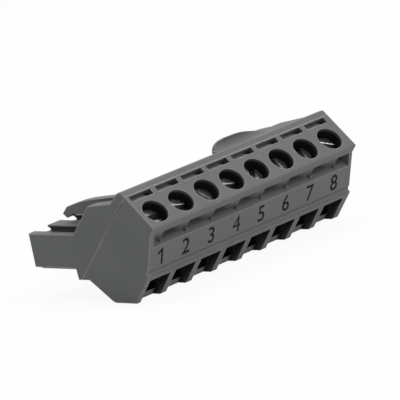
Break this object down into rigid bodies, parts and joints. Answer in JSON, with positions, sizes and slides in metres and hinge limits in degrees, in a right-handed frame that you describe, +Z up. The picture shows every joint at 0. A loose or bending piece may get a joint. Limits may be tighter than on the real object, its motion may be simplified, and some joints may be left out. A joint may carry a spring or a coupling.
{
  "type": "screw terminal strip",
  "caption": "Pluggable screw terminal strip with slanted screw face, rising-cage wire clamps, numbered poles and pin sockets.",
  "frame": {"origin": "middle of the plug end face, on the line of the header pins", "axes": "+X along the poles, in the order of their numbers, +Y out of the plug end, +Z up"},
  "size_m": [0.0414, 0.0257, 0.0169],
  "materials": {
    "housing": "fine matt moulded",
    "screw": "nickel-plated steel",
    "cage": "zinc-plated steel",
    "contact": "tin-plated copper alloy"
  },
  "bodies": {
    "strip": {"clamp_housing": "housing", "plug_housing": "housing", "contact_1": "contact", "contact_2": "contact", "contact_3": "contact", "contact_4": "contact", "contact_5": "contact", "contact_6": "contact", "contact_7": "contact", "contact_8": "contact"},
    "clamp_screw_1": {"clamp_screw_1": "screw"},
    "clamp_cage_1": {"clamp_cage_1": "cage"},
    "clamp_screw_2": {"clamp_screw_2": "screw"},
    "clamp_cage_2": {"clamp_cage_2": "cage"},
    "clamp_screw_3": {"clamp_screw_3": "screw"},
    "clamp_cage_3": {"clamp_cage_3": "cage"},
    "clamp_screw_4": {"clamp_screw_4": "screw"},
    "clamp_cage_4": {"clamp_cage_4": "cage"},
    "clamp_screw_5": {"clamp_screw_5": "screw"},
    "clamp_cage_5": {"clamp_cage_5": "cage"},
    "clamp_screw_6": {"clamp_screw_6": "screw"},
    "clamp_cage_6": {"clamp_cage_6": "cage"},
    "clamp_screw_7": {"clamp_screw_7": "screw"},
    "clamp_cage_7": {"clamp_cage_7": "cage"},
    "clamp_screw_8": {"clamp_screw_8": "screw"},
    "clamp_cage_8": {"clamp_cage_8": "cage"}
  },
  "joints": [
    {"name": "screw_1_turn", "type": "hinge", "parent": "strip", "child": "clamp_screw_1", "pos_m": [-0.01778, -0.02244, 0.00419], "axis": [0, 0.7071, -0.7071], "range_deg": [0, 1872]},
    {"name": "cage_1_lift", "type": "slide", "parent": "strip", "child": "clamp_cage_1", "axis": [0, -0.7071, 0.7071], "range_m": [0, 0.0026]},
    {"name": "screw_2_turn", "type": "hinge", "parent": "strip", "child": "clamp_screw_2", "pos_m": [-0.0127, -0.02244, 0.00419], "axis": [0, 0.7071, -0.7071], "range_deg": [0, 1872]},
    {"name": "cage_2_lift", "type": "slide", "parent": "strip", "child": "clamp_cage_2", "axis": [0, -0.7071, 0.7071], "range_m": [0, 0.0026]},
    {"name": "screw_3_turn", "type": "hinge", "parent": "strip", "child": "clamp_screw_3", "pos_m": [-0.00762, -0.02244, 0.00419], "axis": [0, 0.7071, -0.7071], "range_deg": [0, 1872]},
    {"name": "cage_3_lift", "type": "slide", "parent": "strip", "child": "clamp_cage_3", "axis": [0, -0.7071, 0.7071], "range_m": [0, 0.0026]},
    {"name": "screw_4_turn", "type": "hinge", "parent": "strip", "child": "clamp_screw_4", "pos_m": [-0.00254, -0.02244, 0.00419], "axis": [0, 0.7071, -0.7071], "range_deg": [0, 1872]},
    {"name": "cage_4_lift", "type": "slide", "parent": "strip", "child": "clamp_cage_4", "axis": [0, -0.7071, 0.7071], "range_m": [0, 0.0026]},
    {"name": "screw_5_turn", "type": "hinge", "parent": "strip", "child": "clamp_screw_5", "pos_m": [0.00254, -0.02244, 0.00419], "axis": [0, 0.7071, -0.7071], "range_deg": [0, 1872]},
    {"name": "cage_5_lift", "type": "slide", "parent": "strip", "child": "clamp_cage_5", "axis": [0, -0.7071, 0.7071], "range_m": [0, 0.0026]},
    {"name": "screw_6_turn", "type": "hinge", "parent": "strip", "child": "clamp_screw_6", "pos_m": [0.00762, -0.02244, 0.00419], "axis": [0, 0.7071, -0.7071], "range_deg": [0, 1872]},
    {"name": "cage_6_lift", "type": "slide", "parent": "strip", "child": "clamp_cage_6", "axis": [0, -0.7071, 0.7071], "range_m": [0, 0.0026]},
    {"name": "screw_7_turn", "type": "hinge", "parent": "strip", "child": "clamp_screw_7", "pos_m": [0.0127, -0.02244, 0.00419], "axis": [0, 0.7071, -0.7071], "range_deg": [0, 1872]},
    {"name": "cage_7_lift", "type": "slide", "parent": "strip", "child": "clamp_cage_7", "axis": [0, -0.7071, 0.7071], "range_m": [0, 0.0026]},
    {"name": "screw_8_turn", "type": "hinge", "parent": "strip", "child": "clamp_screw_8", "pos_m": [0.01778, -0.02244, 0.00419], "axis": [0, 0.7071, -0.7071], "range_deg": [0, 1872]},
    {"name": "cage_8_lift", "type": "slide", "parent": "strip", "child": "clamp_cage_8", "axis": [0, -0.7071, 0.7071], "range_m": [0, 0.0026]}
  ],
  "couplings": [
    {"joint": "screw_1_turn", "follows": "cage_1_lift", "rad_per_m": 12566},
    {"joint": "screw_2_turn", "follows": "cage_2_lift", "rad_per_m": 12566},
    {"joint": "screw_3_turn", "follows": "cage_3_lift", "rad_per_m": 12566},
    {"joint": "screw_4_turn", "follows": "cage_4_lift", "rad_per_m": 12566},
    {"joint": "screw_5_turn", "follows": "cage_5_lift", "rad_per_m": 12566},
    {"joint": "screw_6_turn", "follows": "cage_6_lift", "rad_per_m": 12566},
    {"joint": "screw_7_turn", "follows": "cage_7_lift", "rad_per_m": 12566},
    {"joint": "screw_8_turn", "follows": "cage_8_lift", "rad_per_m": 12566}
  ]
}
